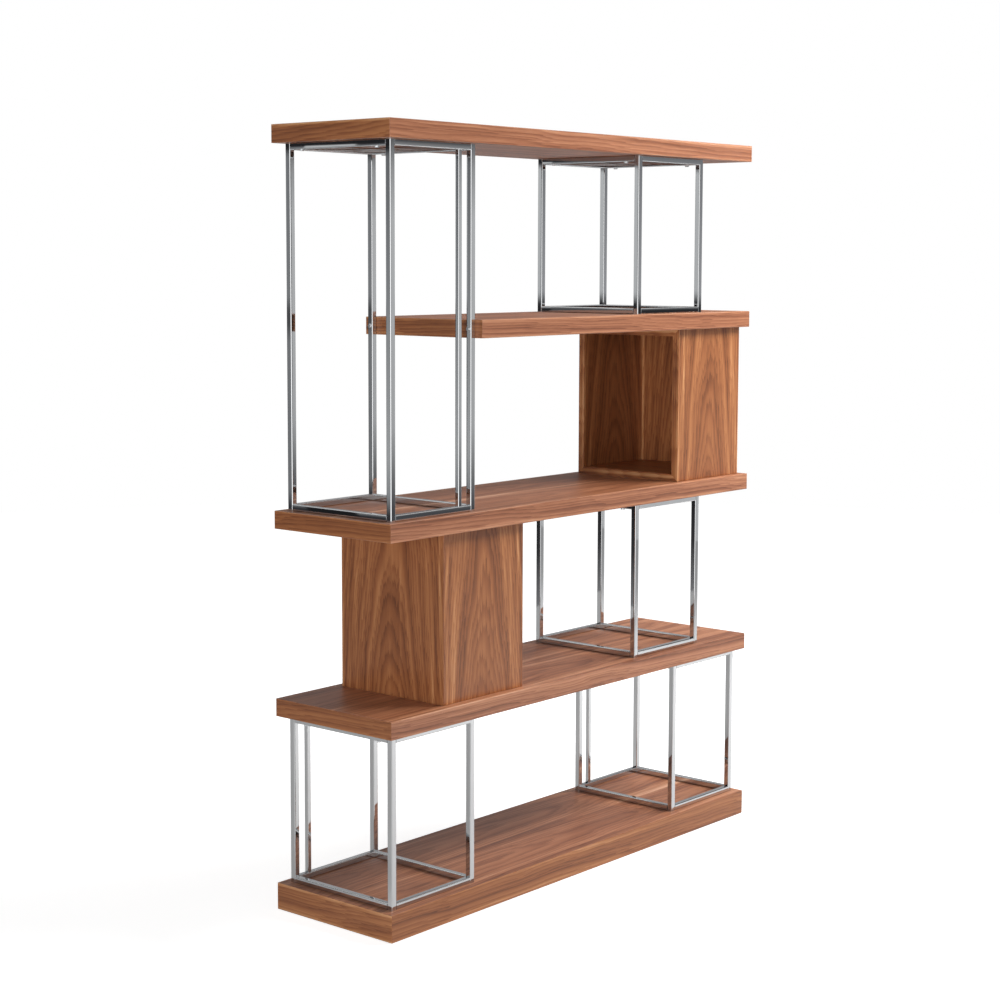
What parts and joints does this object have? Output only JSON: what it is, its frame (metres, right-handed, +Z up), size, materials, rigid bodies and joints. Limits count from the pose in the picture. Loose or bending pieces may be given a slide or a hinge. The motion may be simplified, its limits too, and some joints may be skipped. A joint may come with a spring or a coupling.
{
  "type": "shelving unit",
  "caption": "Open bookcase of thick walnut slabs carried by chromed square-tube frames and walnut boxes set in stepped positions between them, used from both sides.",
  "frame": {"origin": "centre of the unit's footprint, on the floor", "axes": "+X along the width to the right seen from the front, -Y to the front, +Z up"},
  "size_m": [1.5, 0.395, 1.95],
  "materials": {
    "walnut_veneer": "satin lacquer",
    "core_wood": "raw board",
    "chrome_tube": "mirror plated",
    "plated_steel": "bright plated",
    "glide_nylon": "moulded"
  },
  "bodies": {
    "root": {"base_top_panel": "walnut_veneer", "base_bottom_panel": "walnut_veneer", "base_long_edges": "walnut_veneer", "base_end_edges": "walnut_veneer", "lower_shelf_top_panel": "walnut_veneer", "lower_shelf_bottom_panel": "walnut_veneer", "lower_shelf_long_edges": "walnut_veneer", "lower_shelf_end_edges": "walnut_veneer", "middle_shelf_top_panel": "walnut_veneer", "middle_shelf_bottom_panel": "walnut_veneer", "middle_shelf_long_edges": "walnut_veneer", "middle_shelf_end_edges": "walnut_veneer", "upper_shelf_top_panel": "walnut_veneer", "upper_shelf_bottom_panel": "walnut_veneer", "upper_shelf_long_edges": "walnut_veneer", "upper_shelf_end_edges": "walnut_veneer", "top_shelf_top_panel": "walnut_veneer", "top_shelf_bottom_panel": "walnut_veneer", "top_shelf_long_edges": "walnut_veneer", "top_shelf_end_edges": "walnut_veneer", "base_ribs": "core_wood", "shelf_ribs": "core_wood", "lower_left_frame_posts": "chrome_tube", "lower_left_frame_side_rails": "chrome_tube", "lower_left_frame_cross_rails": "chrome_tube", "lower_left_frame_slim_post": "chrome_tube", "lower_right_frame_posts": "chrome_tube", "lower_right_frame_side_rails": "chrome_tube", "lower_right_frame_cross_rails": "chrome_tube", "lower_right_frame_slim_post": "chrome_tube", "middle_frame_posts": "chrome_tube", "middle_frame_side_rails": "chrome_tube", "middle_frame_cross_rails": "chrome_tube", "tall_frame_posts": "chrome_tube", "tall_frame_side_rails": "chrome_tube", "tall_frame_cross_rails": "chrome_tube", "tall_frame_slim_post": "chrome_tube", "upper_frame_posts": "chrome_tube", "upper_frame_side_rails": "chrome_tube", "upper_frame_cross_rails": "chrome_tube", "lower_box_front_panel": "walnut_veneer", "lower_box_back_panel": "walnut_veneer", "lower_box_end_panel": "walnut_veneer", "lower_box_top_panel": "walnut_veneer", "lower_box_bottom_panel": "walnut_veneer", "upper_box_front_panel": "walnut_veneer", "upper_box_back_panel": "walnut_veneer", "upper_box_end_panel": "walnut_veneer", "upper_box_top_panel": "walnut_veneer", "upper_box_bottom_panel": "walnut_veneer", "top_rail_screws": "plated_steel", "insert_nuts": "plated_steel", "base_bolts": "plated_steel", "shelf_bolts": "plated_steel", "rail_bushes": "plated_steel", "shelf_end_bolts": "plated_steel", "box_screws": "plated_steel", "floor_glides": "glide_nylon"}
  },
  "joints": []
}
